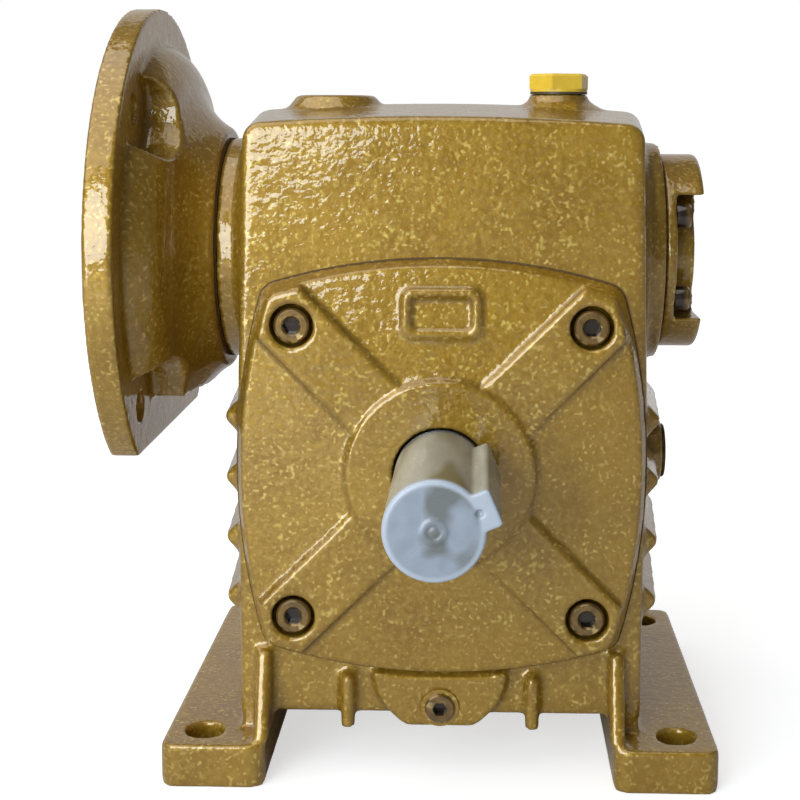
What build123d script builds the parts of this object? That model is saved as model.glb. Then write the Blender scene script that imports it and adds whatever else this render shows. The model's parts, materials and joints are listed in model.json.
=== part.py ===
from build123d import *
from math import acos, atan2, cos, degrees, pi, radians, sin, tan
import os

# Worm gearbox, centre distance 80 mm, ratio 30:1, with long feet and a round motor flange.
# Millimetres. +Z is up, the output shaft points to -Y and the motor flange to -X.
# The origin is the centre of the foot bolt pattern, on the mounting plane of the feet.

os.makedirs("parts", exist_ok=True)

# ---------------------------------------------------------------- driving dimensions
centre_distance = 80.0
output_z = 124.0  # height of the output shaft's axis above the mounting plane
worm_z = output_z + centre_distance
teeth = 30
module = 4.0
clear = 0.05  # radial gap of a located or running fit

# housing casting
wall_y = 67.0  # machined front and rear faces
body_top_z = 265.5
body_bottom_z = 18.7
body_low_half = 84.8  # half width at the parting plane, lower part
body_high_half = 81.8  # half width at the parting plane, at the top
lean_start_z = 150.0  # the side walls lean in above this height
crown = 3.5  # rise of the top between its corners and the middle
draft = 4.5  # degrees of casting draft from the parting plane
wall = 9.0
cavity_half_x = 71.0
cavity_low_z = 29.0
cavity_high_z = 251.0
thread_deep = 20.0  # tapped holes of the cover screws
boss_thread_deep = 15.0  # tapped holes of the worm bearings' bosses

# feet
foot_outer_x = 109.0
foot_inner_x = 68.0
foot_half_y = 85.0
foot_high = 17.0
foot_round = 6.0
foot_hole_x = 93.5
foot_hole_y = 69.0
foot_hole_r = 7.5
leg_thick = 11.0
leg_top_z = 60.0
passage_top_z = 19.5
passage_round = 4.0

# gussets and short ribs on the front and rear walls
gusset_inner_x = 66.6
gusset_wide = 6.0
gusset_top_z = 50.5
gusset_proud = 3.5
short_rib_x = 36.5
short_rib_r = 2.9
short_rib_proud = 2.0  # distance of the rib's axis from the wall
short_rib_high = 19.0

# cooling ribs along both side walls
rib_low_z = 69.5
rib_pitch = 24.3
rib_count = 4
rib_proud = 5.5
rib_half_high = 7.0
rib_half_y = 62.0
rib_root_x = 72.0

# output covers
cover_corner_x = 69.5
cover_corner_z = 71.7
cover_corner_round = 9.0
cover_side_bulge = 80.0
cover_top_bulge = 82.6
cover_back_y = 67.5
cover_arm_y = 78.8
cover_edge_draft = 22.0  # degrees by which the cover's edge leans in
cover_hub_y = 80.0
cover_hub_r = 36.8
cover_spigot_r = 68.0
cover_spigot_wall = 10.0
cover_spigot_long = 6.0
cover_screw_offset = 57.0
counterbore_gap = 1.5
screw_hole_gap = 0.5
arm_width = 25.5
panel_depth_inner = 1.0
panel_depth_outer = 4.6
panel_inner = 30.0
frame_below_arms = 1.2
panel_outer = 84.0
frame_up = 62.0  # centre of the blank raised frame above the output axis

# output line
extension_end_y = -152.0
extension_r = 16.0
seal_seat_r = 17.5
bearing_seat_r = 20.0
wheel_seat_r = 22.5
collar_r = 28.0
wheel_hub_half = 26.0
output_bearing_y = 44.0  # inner side face of each output bearing
output_bearing_wide = 18.0
output_bearing_r = 40.0
key_angle = 23.0  # the output key's direction, from +X towards +Z

# worm line
input_bearing_x = -76.0
input_bearing_wide = 15.0
input_bearing_r = 34.0
end_bearing_x = 60.0
end_bearing_wide = 16.0
end_bearing_r = 31.0
input_boss_x = -91.0
input_boss_r = 46.5
end_boss_x = 88.5
end_boss_r = 45.5
worm_half_length = 34.0
worm_neck_r = 14.5
worm_hub_end_x = -126.0
input_bore_r = 12.0

# motor flange
flange_face_x = -131.0
flange_thick = 11.5
flange_r = 100.0
flange_cut = 78.0  # distance of the flat below the worm's axis
flange_pilot_r = 65.0
flange_pilot_deep = 4.5
flange_bolt_circle_r = 82.5
flange_bolt_r = 6.0
flange_hub_r = 50.5
flange_root_r = 83.0

# bosses on the casting
vent_x = 47.0
top_pad_z = 269.5
level_z = 117.0
level_boss_x = 93.0
level_boss_r = 13.5
drain_boss_z = 43.0
drain_boss_r = 26.8
drain_boss_y = 70.3
drain_plug_z = 28.0
drain_seat_deep = 1.0
pad_root_r = 22.0  # foot of the vent boss and of the blank pad
blank_pad_r = 16.3
vent_boss_r = 12.4
vent_boss_high = 2.6

# shoulders and bolt circles of the worm bearings
bearing_shoulder_r = 30.0
end_shoulder_r = 27.0
input_screw_circle_r = 40.5
end_screw_circle_r = 35.6
end_screw_angle = 28.0

# smaller sizes
flange_seat_x = input_boss_x - 0.5
flange_web_x = -98.0
flange_bell_cut = 58.0
input_seal_r = 31.0
input_seal_x = -90.0
input_bore_deep = 52.0
end_cover_x = end_boss_x + 0.5
end_cover_top_x = 105.0
end_cover_r = 40.8
end_pocket_x = 93.5
end_pocket_half = 25.0
end_channel_x = 102.6
end_channel_low_half = 15.0
end_core_r = 24.0
end_shim = 0.3
circlip_thick = 1.5
output_seal_r = 26.0
output_seal_end_y = 75.0
output_key_wide = 10.0
output_key_long = 56.0
output_key_y = -117.0
wheel_key_wide = 14.0
wheel_key_long = 45.0
rim_seat_r = 48.0
rim_outer_r = 66.0
rim_half = 15.0
lock_screw_count = 6
vent_thread_r = 8.0
washer_thick = 1.0
drain_thread_r = 5.0
drain_washer_r = 7.5
drain_washer_thick = 1.6
drain_head_r = 5.9
level_hole_r = 9.5
level_window_r = 7.8
cap_back_y = -80.6
cap_long = 77.0
cap_wall = 1.6
cap_bump_gap = 5.0
cap_end_thick = 2.0
cap_hole_out = 16.4


class Screw:
    """Sizes of one kind of socket head screw."""

    def __init__(self, radius, length, head_r, head_high, socket):
        self.radius = radius
        self.length = length
        self.head_r = head_r
        self.head_high = head_high
        self.socket = socket


cover_screw = Screw(radius=4.0, length=24.0, head_r=6.8, head_high=6.5, socket=6.0)
input_screw = Screw(radius=3.0, length=19.0, head_r=5.0, head_high=6.0, socket=5.0)
end_screw = Screw(radius=3.0, length=18.0, head_r=5.0, head_high=6.0, socket=5.0)


def front(y):
    """The XZ plane at Y = -y, facing the viewer of the output side, centred on the output axis."""
    return Plane(origin=(0, -y, output_z), x_dir=(1, 0, 0), z_dir=(0, -1, 0))


def side(x):
    """The YZ plane at X = x, facing +X, centred on the worm's axis."""
    return Plane(origin=(x, 0, worm_z), x_dir=(0, 1, 0), z_dir=(1, 0, 0))


def along_y(y):
    """A plane across the output axis at Y = y, facing +Y, with its own y axis up."""
    return Plane(origin=(0, y, output_z), x_dir=(-1, 0, 0), z_dir=(0, 1, 0))


def finish(part, name):
    """Label one finished piece and write its STEP file."""
    part.label = name
    export_step(part, f"parts/{name}.step")


def cover_outline():
    """Four bulged sides that meet at the corners by the screws, drawn about the output axis."""
    with BuildSketch(mode=Mode.PRIVATE) as outline:
        with BuildLine():
            ThreePointArc((-cover_corner_x, cover_corner_z), (0, cover_top_bulge),
                          (cover_corner_x, cover_corner_z))
            ThreePointArc((cover_corner_x, cover_corner_z), (cover_side_bulge, 0),
                          (cover_corner_x, -cover_corner_z))
            ThreePointArc((cover_corner_x, -cover_corner_z), (0, -cover_top_bulge),
                          (-cover_corner_x, -cover_corner_z))
            ThreePointArc((-cover_corner_x, -cover_corner_z), (-cover_side_bulge, 0),
                          (-cover_corner_x, cover_corner_z))
        make_face()
        fillet(outline.vertices(), radius=cover_corner_round)
    return outline.sketch


def end_screw_points():
    """The four screws of the worm end cover stand in its two side pockets."""
    across = end_screw_circle_r * cos(radians(end_screw_angle))
    up = end_screw_circle_r * sin(radians(end_screw_angle))
    return [(across, up), (-across, up), (-across, -up), (across, -up)]


# ---------------------------------------------------------------- housing
def rib_outline(hand, rib_z, slope):
    """Section of a cooling rib on the right (hand 1) or left (-1) wall, where the wall is in by slope."""
    foot_x = body_low_half - slope
    tip_x = foot_x + rib_proud
    with BuildSketch(mode=Mode.PRIVATE) as outline:
        with BuildLine():
            Polyline(
                (hand * rib_root_x, rib_z - rib_half_high - 3),
                (hand * foot_x, rib_z - rib_half_high),
                (hand * tip_x, rib_z - 1),
                (hand * tip_x, rib_z + 1),
                (hand * foot_x, rib_z + rib_half_high),
                (hand * rib_root_x, rib_z + rib_half_high + 3),
                close=True,
            )
        make_face()
    return outline.sketch


def four_cover_screws(radius):
    """Circles at the four cover screws."""
    with GridLocations(2 * cover_screw_offset, 2 * cover_screw_offset, 2, 2):
        Circle(radius)


with BuildPart() as housing:
    # tapered box, drafted from the parting plane at Y = 0
    shoulder_z = body_top_z - crown
    with BuildSketch(Plane.XZ):
        with BuildLine():
            Line((-body_low_half, body_bottom_z), (body_low_half, body_bottom_z))
            Line((body_low_half, body_bottom_z), (body_low_half, lean_start_z))
            Line((body_low_half, lean_start_z), (body_high_half, shoulder_z))
            ThreePointArc((body_high_half, shoulder_z), (0, body_top_z), (-body_high_half, shoulder_z))
            Line((-body_high_half, shoulder_z), (-body_low_half, lean_start_z))
            Line((-body_low_half, lean_start_z), (-body_low_half, body_bottom_z))
        make_face()
    extrude(amount=wall_y, taper=draft)
    fillet(housing.edges().filter_by(lambda e: abs(e.center().X) > 60 and e.center().Z > 255
                                     and abs(e.center().Y + wall_y / 2) < 10), radius=7)
    fillet(housing.faces().sort_by(Axis.Y)[0].edges(), radius=2.5)

    # one V-shaped cooling rib per level on each side wall
    rib_slope = rib_half_y * tan(radians(draft))
    for level in range(rib_count):
        rib_z = rib_low_z + level * rib_pitch
        for hand in (-1, 1):
            with BuildSketch(Plane.XZ):
                add(rib_outline(hand, rib_z, 0))
            with BuildSketch(Plane.XZ.offset(rib_half_y)):
                add(rib_outline(hand, rib_z, rib_slope))
            loft(ruled=True)
    # gusset from the front wall down to each foot, blunt at its top
    toe_y = -foot_half_y + 2
    for hand in (-1, 1):
        with BuildSketch(Plane.YZ.offset(hand * gusset_inner_x)):
            with BuildLine():
                Polyline((-60, gusset_top_z), (-wall_y - gusset_proud, gusset_top_z),
                         (toe_y, foot_high), (toe_y, 10), (-60, 10), close=True)
            make_face()
        extrude(amount=hand * gusset_wide)
    # short half-round rib on the front wall, each side of the drain boss
    rib_axis_y = -wall_y - short_rib_proud
    rib_spots = [(-short_rib_x, rib_axis_y), (short_rib_x, rib_axis_y)]
    with Locations(*[(x, y, passage_top_z) for x, y in rib_spots]):
        Cylinder(short_rib_r, short_rib_high, align=(Align.CENTER, Align.CENTER, Align.MIN))
    with Locations(*[(x, y, passage_top_z + short_rib_high) for x, y in rib_spots]):
        Sphere(short_rib_r)
    mirror(about=Plane.XZ)

    # legs, feet and the open passage between them
    for hand in (-1, 1):
        with BuildSketch(Plane.XY):
            with Locations((hand * (foot_outer_x + foot_inner_x) / 2, 0)):
                RectangleRounded(foot_outer_x - foot_inner_x, 2 * foot_half_y, foot_round)
        extrude(amount=foot_high)
        with BuildSketch(Plane.XY):
            with Locations((hand * (foot_inner_x + leg_thick / 2), 0)):
                Rectangle(leg_thick, 2 * wall_y)
        extrude(amount=leg_top_z)
    passage_low_z = -40.0
    with BuildSketch(Plane.XZ.offset(foot_half_y)):
        with Locations((0, (passage_top_z + passage_low_z) / 2)):
            RectangleRounded(2 * foot_inner_x, passage_top_z - passage_low_z, passage_round)
    extrude(amount=-2 * foot_half_y, mode=Mode.SUBTRACT)

    # round seats of the worm bearings, on the left and right walls
    with BuildSketch(side(input_boss_x)):
        Circle(input_boss_r)
    extrude(amount=-input_boss_x - 60)
    with BuildSketch(side(input_boss_x + 14)):
        Circle(input_boss_r + 7)
    with BuildSketch(side(input_boss_x + 7)):
        Circle(input_boss_r)
    loft()
    with BuildSketch(side(end_boss_x)):
        Circle(end_boss_r)
    extrude(amount=-end_boss_x + 60)
    with BuildSketch(side(end_boss_x - 13.5)):
        Circle(end_boss_r + 11)
    with BuildSketch(side(end_boss_x - 5.5)):
        Circle(end_boss_r)
    loft()

    # vent boss and blank pad on the top, level boss on the right wall, drain boss on the front wall
    for across, top_r, top_z in ((vent_x, vent_boss_r, top_pad_z - vent_boss_high),
                                 (-vent_x, blank_pad_r, top_pad_z - 0.8)):
        with BuildSketch(Plane.XY.offset(body_top_z - 4)):
            with Locations((across, 0)):
                Circle(pad_root_r)
        with BuildSketch(Plane.XY.offset(top_z)):
            with Locations((across, 0)):
                Circle(top_r)
        loft()
    with Locations((vent_x, 0, top_pad_z - vent_boss_high)):
        Cylinder(vent_boss_r, vent_boss_high, align=(Align.CENTER, Align.CENTER, Align.MIN))
    with BuildSketch(Plane.YZ.offset(cavity_half_x)):
        with Locations((0, level_z)):
            Circle(level_boss_r)
    extrude(amount=level_boss_x - cavity_half_x)
    with BuildSketch(Plane.XZ.offset(wall_y - wall)):
        with Locations((0, drain_boss_z)):
            Circle(drain_boss_r)
        with Locations((0, passage_top_z - 20)):
            Rectangle(2 * drain_boss_r, 40, mode=Mode.SUBTRACT)
    extrude(amount=drain_boss_y - wall_y + wall, taper=2)

    # oil space, then the inner bosses that carry the worm bearings and the cover screws
    with Locations((0, 0, (cavity_low_z + cavity_high_z) / 2)):
        Box(2 * cavity_half_x, 2 * (wall_y - wall), cavity_high_z - cavity_low_z, mode=Mode.SUBTRACT)
    input_neck_x = -58.0
    end_neck_x = 57.0
    with BuildSketch(side(-cavity_half_x - 1)):
        Circle(input_bearing_r + 6)
    extrude(amount=cavity_half_x + 1 + input_neck_x)
    with BuildSketch(side(end_neck_x)):
        Circle(end_bearing_r + 7)
    extrude(amount=cavity_half_x + 1 - end_neck_x)
    with BuildSketch(Plane.XY.offset(cavity_high_z - 6)):
        with Locations((vent_x, 0), (-vent_x, 0)):
            Circle(13)
    extrude(amount=8)
    for face in (-1, 1):
        with BuildSketch(front(face * (wall_y - wall + 1))):
            four_cover_screws(11)
        extrude(amount=-face * 15)

    # the drain boss is machined away where the front cover sits
    with BuildSketch(front(wall_y)):
        add(offset(cover_outline(), amount=0.8, mode=Mode.PRIVATE))
    extrude(amount=20, mode=Mode.SUBTRACT)

    # bores: wheel openings, worm bearings, tapped holes
    with BuildSketch(front(wall_y + 1)):
        Circle(cover_spigot_r)
    extrude(amount=-2 * wall_y - 2, mode=Mode.SUBTRACT)
    with BuildSketch(side(input_boss_x)):
        Circle(input_bearing_r + clear)
    extrude(amount=input_bearing_x + input_bearing_wide - input_boss_x, mode=Mode.SUBTRACT)
    with BuildSketch(side(input_neck_x - 8)):
        Circle(bearing_shoulder_r)
    extrude(amount=16, mode=Mode.SUBTRACT)
    with BuildSketch(side(end_boss_x)):
        Circle(end_bearing_r + clear)
    extrude(amount=end_bearing_x - end_boss_x, mode=Mode.SUBTRACT)
    with BuildSketch(side(end_neck_x + 9)):
        Circle(end_shoulder_r)
    extrude(amount=-16, mode=Mode.SUBTRACT)
    for face in (-1, 1):
        with BuildSketch(front(face * wall_y)):
            four_cover_screws(cover_screw.radius + clear)
        extrude(amount=-face * thread_deep, mode=Mode.SUBTRACT)
    with BuildSketch(side(input_boss_x)):
        with PolarLocations(input_screw_circle_r, 4, start_angle=45):
            Circle(input_screw.radius + clear)
    extrude(amount=boss_thread_deep, mode=Mode.SUBTRACT)
    with BuildSketch(side(end_boss_x)):
        with Locations(*end_screw_points()):
            Circle(end_screw.radius + clear)
    extrude(amount=-boss_thread_deep, mode=Mode.SUBTRACT)

    # tapped holes of the vent plug and drain plug, and the seat of the level glass
    with BuildSketch(Plane.XY.offset(top_pad_z)):
        with Locations((vent_x, 0)):
            Circle(vent_thread_r + clear)
    extrude(amount=-26, mode=Mode.SUBTRACT)
    with BuildSketch(Plane.XZ.offset(drain_boss_y)):
        with Locations((0, drain_plug_z)):
            Circle(drain_washer_r + 0.1)
    extrude(amount=-drain_seat_deep, mode=Mode.SUBTRACT)
    with BuildSketch(Plane.XZ.offset(drain_boss_y)):
        with Locations((0, drain_plug_z)):
            Circle(drain_thread_r + clear)
    extrude(amount=-14, mode=Mode.SUBTRACT)
    with BuildSketch(Plane.YZ.offset(level_boss_x)):
        with Locations((0, level_z)):
            Circle(level_hole_r)
    extrude(amount=-30, mode=Mode.SUBTRACT)
    with BuildSketch(Plane.XY):
        with GridLocations(2 * foot_hole_x, 2 * foot_hole_y, 2, 2):
            Circle(foot_hole_r)
    extrude(amount=foot_high + 6, mode=Mode.SUBTRACT)
finish(housing.part, "housing")


# ---------------------------------------------------------------- screws
def socket_screws(places, size):
    """Socket head screws in one group, each seated at a plane under its head."""
    with BuildPart() as single:
        with BuildSketch():
            Circle(size.head_r)
        extrude(amount=size.head_high)
        chamfer(single.faces().sort_by(Axis.Z)[-1].edges(), length=0.9)
        with BuildSketch():
            Circle(size.radius)
        extrude(amount=-size.length)
        chamfer(single.faces().sort_by(Axis.Z)[0].edges(), length=0.8)
        with BuildSketch(Plane.XY.offset(size.head_high)):
            RegularPolygon(size.socket / 2, 6, major_radius=False)
        extrude(amount=-0.6 * size.head_high, mode=Mode.SUBTRACT)
        with BuildSketch(Plane.XY.offset(size.head_high)):
            Circle(0.64 * size.socket)
        extrude(amount=-0.14 * size.socket, taper=45, mode=Mode.SUBTRACT)
    with BuildPart() as group:
        with Locations(*places):
            add(single.part)
    return group.part


def cover_screw_places(face):
    """Planes under the heads of the four screws of the front (face 1) or rear (face -1) cover."""
    seat_y = cover_arm_y - cover_screw.head_high - 0.8
    places = []
    for across in (-cover_screw_offset, cover_screw_offset):
        for up in (-cover_screw_offset, cover_screw_offset):
            places.append(Plane(origin=(across, -face * seat_y, output_z + up), x_dir=(1, 0, 0),
                                z_dir=(0, -face, 0)))
    return places


finish(socket_screws(cover_screw_places(1), cover_screw), "front_cover_screws")
finish(socket_screws(cover_screw_places(-1), cover_screw), "rear_cover_screws")


# ---------------------------------------------------------------- output covers and their gaskets
with BuildPart() as panel_cutter:
    # four sunk panels between the arms, whose floors fall away from the hub like the sides of a low pyramid
    with BuildSketch(front(cover_arm_y)):
        Rectangle(240, 240)
        Rectangle(240, arm_width, rotation=45, mode=Mode.SUBTRACT)
        Rectangle(240, arm_width, rotation=-45, mode=Mode.SUBTRACT)
        Circle(cover_hub_r, mode=Mode.SUBTRACT)
    extrude(amount=-panel_depth_outer)
    with BuildSketch(front(cover_arm_y - panel_depth_outer)):
        Rectangle(2 * panel_outer, 2 * panel_outer)
    panel_rise = panel_depth_outer - panel_depth_inner
    extrude(amount=panel_rise, taper=degrees(atan2(panel_outer - panel_inner, panel_rise)), mode=Mode.SUBTRACT)


def output_cover(shaft_passes):
    """The cover with X-shaped arms, drawn as the front one. The rear one has a closed hub."""
    with BuildPart() as cover:
        with BuildSketch(front(cover_back_y)):
            add(cover_outline())
        extrude(amount=cover_arm_y - cover_back_y, taper=cover_edge_draft)
        add(panel_cutter.part, mode=Mode.SUBTRACT)
        with BuildSketch(front(cover_arm_y - 1)):
            Circle(cover_hub_r)
        extrude(amount=cover_hub_y - cover_arm_y + 1, taper=20)
        # blank raised frame on the top panel
        with BuildSketch(front(cover_arm_y - panel_depth_outer)):
            with Locations((0, frame_up)):
                RectangleRounded(30, 19, 4)
                RectangleRounded(24, 13, 2.5, mode=Mode.SUBTRACT)
        extrude(amount=panel_depth_outer - frame_below_arms)
        # spigot in the wheel opening and the bearing's ring behind it
        with BuildSketch(front(cover_back_y)):
            Circle(cover_spigot_r - clear)
            Circle(cover_spigot_r - cover_spigot_wall, mode=Mode.SUBTRACT)
        extrude(amount=-cover_spigot_long)
        with BuildSketch(front(cover_back_y)):
            Circle(output_bearing_r + 8)
        extrude(amount=output_bearing_y - cover_back_y)
        with BuildSketch(front(output_bearing_y)):
            Circle(output_bearing_r + clear)
        extrude(amount=output_bearing_wide, mode=Mode.SUBTRACT)
        bearing_face = output_bearing_y + output_bearing_wide
        with BuildSketch(front(bearing_face)):
            Circle(output_seal_r + clear if shaft_passes else bearing_seat_r + 4)
        extrude(amount=output_seal_end_y - bearing_face if shaft_passes else 4, mode=Mode.SUBTRACT)
        if shaft_passes:
            with BuildSketch(front(output_seal_end_y)):
                Circle(seal_seat_r + 0.9)
            extrude(amount=10, mode=Mode.SUBTRACT)
        seat = cover_arm_y - cover_screw.head_high - 0.8
        with BuildSketch(front(cover_arm_y)):
            four_cover_screws(cover_screw.head_r + counterbore_gap)
        extrude(amount=seat - cover_arm_y, mode=Mode.SUBTRACT)
        with BuildSketch(front(cover_arm_y)):
            four_cover_screws(cover_screw.radius + screw_hole_gap)
        extrude(amount=-20, mode=Mode.SUBTRACT)
    return cover.part


front_cover = output_cover(shaft_passes=True)
finish(front_cover, "front_cover")
finish(mirror(output_cover(shaft_passes=False), about=Plane.XZ), "rear_cover")

for gasket_name, gasket_y in (("front_cover_gasket", wall_y), ("rear_cover_gasket", -cover_back_y)):
    with BuildPart() as gasket:
        with BuildSketch(front(gasket_y)):
            add(cover_outline())
            Circle(cover_spigot_r, mode=Mode.SUBTRACT)
            with GridLocations(2 * cover_screw_offset, 2 * cover_screw_offset, 2, 2):
                Circle(cover_screw.radius + screw_hole_gap, mode=Mode.SUBTRACT)
        extrude(amount=cover_back_y - wall_y)
    finish(gasket.part, gasket_name)


# ---------------------------------------------------------------- motor flange
def bolt_spots(radius):
    """The four bolt places at 45 degrees on a circle about the worm's axis."""
    return PolarLocations(radius, 4, start_angle=45)


with BuildPart() as motor_flange:
    flange_back_x = flange_face_x + flange_thick
    with BuildSketch(Plane.XZ):
        with BuildLine():
            Line((flange_back_x, worm_z), (flange_back_x, worm_z + flange_root_r + 2.5))
            ThreePointArc((flange_back_x, worm_z + flange_root_r + 2.5),
                          (flange_back_x + 8.5, worm_z + flange_root_r - 3),
                          (flange_back_x + 14, worm_z + flange_root_r - 15))
            ThreePointArc((flange_back_x + 14, worm_z + flange_root_r - 15),
                          (flange_back_x + 19, worm_z + flange_hub_r + 7.5),
                          (flange_seat_x, worm_z + flange_hub_r))
            Line((flange_seat_x, worm_z + flange_hub_r), (flange_seat_x, worm_z))
            Line((flange_seat_x, worm_z), (flange_back_x, worm_z))
        make_face()
    revolve(axis=Axis((0, 0, worm_z), (1, 0, 0)))
    # pockets that let a nut and spanner reach each bolt, and the flat under the bell
    with BuildSketch(side(flange_back_x)):
        with bolt_spots(flange_bolt_circle_r):
            Circle(19)
        with Locations((0, -flange_bell_cut - 50)):
            Rectangle(220, 100)
    extrude(amount=60, mode=Mode.SUBTRACT)
    with BuildSketch(side(flange_face_x)) as disc:
        Circle(flange_r)
        with Locations((0, -flange_cut - 50)):
            Rectangle(220, 100, mode=Mode.SUBTRACT)
        fillet(disc.vertices(), radius=6)
    extrude(amount=flange_thick)
    # pilot recess, hollow bell, spigot with the input seal's pocket
    with BuildSketch(side(flange_face_x)):
        Circle(flange_pilot_r)
    extrude(amount=flange_pilot_deep, mode=Mode.SUBTRACT)
    with BuildSketch(side(flange_face_x + flange_pilot_deep)):
        Circle(56)
    with BuildSketch(side(flange_web_x)):
        Circle(47)
    loft(mode=Mode.SUBTRACT)
    with BuildSketch(side(flange_seat_x)):
        Circle(input_bearing_r)
        Circle(input_seal_r + clear, mode=Mode.SUBTRACT)
    extrude(amount=input_bearing_x - flange_seat_x - 0.2)
    with BuildSketch(side(flange_seat_x)):
        Circle(input_seal_r + clear)
    extrude(amount=-2, mode=Mode.SUBTRACT)
    with BuildSketch(side(flange_seat_x)):
        Circle(bearing_seat_r + 1.5)
    extrude(amount=-20, mode=Mode.SUBTRACT)
    with BuildSketch(side(flange_face_x)):
        with bolt_spots(flange_bolt_circle_r):
            Circle(flange_bolt_r)
    extrude(amount=flange_thick, mode=Mode.SUBTRACT)
    with BuildSketch(side(flange_seat_x)):
        with bolt_spots(input_screw_circle_r):
            Circle(input_screw.radius + 0.4)
    extrude(amount=-20, mode=Mode.SUBTRACT)
finish(motor_flange.part, "motor_flange")

with BuildPart() as motor_flange_gasket:
    with BuildSketch(side(flange_seat_x)):
        Circle(input_boss_r)
        Circle(input_bearing_r + clear, mode=Mode.SUBTRACT)
        with bolt_spots(input_screw_circle_r):
            Circle(input_screw.radius + 0.4, mode=Mode.SUBTRACT)
    extrude(amount=input_boss_x - flange_seat_x)
finish(motor_flange_gasket.part, "motor_flange_gasket")

input_screw_places = []
for spot in bolt_spots(input_screw_circle_r).locations:
    input_screw_places.append(Plane(origin=(flange_web_x, spot.position.X, worm_z + spot.position.Y),
                                    x_dir=(0, 1, 0), z_dir=(-1, 0, 0)))
finish(socket_screws(input_screw_places, input_screw), "motor_flange_screws")


# ---------------------------------------------------------------- worm end cover
with BuildPart() as worm_end_cover:
    with BuildSketch(side(end_cover_x)):
        Circle(end_cover_r)
    extrude(amount=end_cover_top_x - end_cover_x)
    fillet(worm_end_cover.faces().sort_by(Axis.X)[-1].edges(), radius=2)
    # two side pockets for the screws, and a shallow channel across the core between the lobes
    with BuildSketch(side(end_pocket_x)):
        Rectangle(120, 2 * end_pocket_half)
        Circle(end_core_r, mode=Mode.SUBTRACT)
    extrude(amount=20, mode=Mode.SUBTRACT)
    with BuildSketch(Plane.XZ.offset(-60)):
        with BuildLine():
            Polyline((end_channel_x, worm_z - end_channel_low_half),
                     (end_cover_top_x, worm_z - end_pocket_half),
                     (end_cover_top_x + 1, worm_z - end_pocket_half),
                     (end_cover_top_x + 1, worm_z + end_pocket_half),
                     (end_cover_top_x, worm_z + end_pocket_half),
                     (end_channel_x, worm_z + end_channel_low_half), close=True)
        make_face()
    extrude(amount=120, mode=Mode.SUBTRACT)
    with BuildSketch(side(end_cover_x)):
        Circle(end_bearing_r)
        Circle(end_bearing_r - 4, mode=Mode.SUBTRACT)
    extrude(amount=end_bearing_x + end_bearing_wide + end_shim - end_cover_x)
    with BuildSketch(side(end_cover_x)):
        Circle(18)
    extrude(amount=6, mode=Mode.SUBTRACT)
    with BuildSketch(side(end_cover_top_x)):
        with Locations(*end_screw_points()):
            Circle(end_screw.radius + 0.4)
    extrude(amount=-40, mode=Mode.SUBTRACT)
finish(worm_end_cover.part, "worm_end_cover")

with BuildPart() as end_cover_gasket:
    with BuildSketch(side(end_boss_x)):
        Circle(end_cover_r)
        Circle(end_bearing_r + clear, mode=Mode.SUBTRACT)
        with Locations(*end_screw_points()):
            Circle(end_screw.radius + 0.4, mode=Mode.SUBTRACT)
    extrude(amount=end_cover_x - end_boss_x)
finish(end_cover_gasket.part, "end_cover_gasket")

end_screw_places = []
for across, up in end_screw_points():
    end_screw_places.append(Plane(origin=(end_pocket_x, across, worm_z + up),
                                  x_dir=(0, 1, 0), z_dir=(1, 0, 0)))
finish(socket_screws(end_screw_places, end_screw), "end_cover_screws")

with BuildPart() as end_cover_shim:
    with BuildSketch(side(end_bearing_x + end_bearing_wide)):
        Circle(end_bearing_r - 0.3)
        Circle(end_bearing_r - 4, mode=Mode.SUBTRACT)
    extrude(amount=end_shim)
finish(end_cover_shim.part, "end_cover_shim")


# ---------------------------------------------------------------- oil fittings
def washer(plane, outer_r, inner_r, thick):
    """A flat sealing washer that lies on a plane."""
    with BuildPart() as ring:
        with BuildSketch(plane):
            Circle(outer_r)
            Circle(inner_r, mode=Mode.SUBTRACT)
        extrude(amount=thick)
    return ring.part


vent_plane = Plane.XY.offset(top_pad_z).shift_origin((vent_x, 0, top_pad_z))
finish(washer(vent_plane, 12.0, vent_thread_r + 0.2, washer_thick), "vent_plug_washer")
with BuildPart() as vent_plug:
    with BuildSketch(vent_plane.offset(washer_thick)):
        Circle(12.0)
    extrude(amount=1.2)
    with BuildSketch(vent_plane.offset(washer_thick + 1.2)):
        RegularPolygon(11.2, 6, major_radius=False, rotation=15)
    extrude(amount=6.3)
    chamfer(vent_plug.faces().sort_by(Axis.Z)[-1].edges(), length=1.0)
    with BuildSketch(vent_plane.offset(washer_thick)):
        Circle(vent_thread_r)
    extrude(amount=-13)
    with BuildSketch(vent_plane.offset(washer_thick + 7.5)):
        Circle(3.4)
    extrude(amount=-4, mode=Mode.SUBTRACT)
    with BuildSketch(vent_plane):
        Circle(1.2)
    extrude(amount=10, both=True, mode=Mode.SUBTRACT)
finish(vent_plug.part, "vent_plug")

drain_plane = Plane(origin=(0, -drain_boss_y + drain_seat_deep, drain_plug_z), x_dir=(1, 0, 0),
                    z_dir=(0, -1, 0))
finish(washer(drain_plane, drain_washer_r, drain_thread_r + 0.2, drain_washer_thick), "drain_plug_washer")
with BuildPart() as drain_plug:
    with BuildSketch(drain_plane.offset(drain_washer_thick)):
        Circle(drain_head_r)
    extrude(amount=1.6)
    chamfer(drain_plug.faces().sort_by(Axis.Y)[0].edges(), length=0.6)
    with BuildSketch(drain_plane.offset(drain_washer_thick)):
        Circle(drain_thread_r)
    extrude(amount=-13)
    with BuildSketch(drain_plane.offset(drain_washer_thick + 1.6)):
        RegularPolygon(2.6, 6, major_radius=False)
    extrude(amount=-4, mode=Mode.SUBTRACT)
finish(drain_plug.part, "drain_plug")

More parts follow.
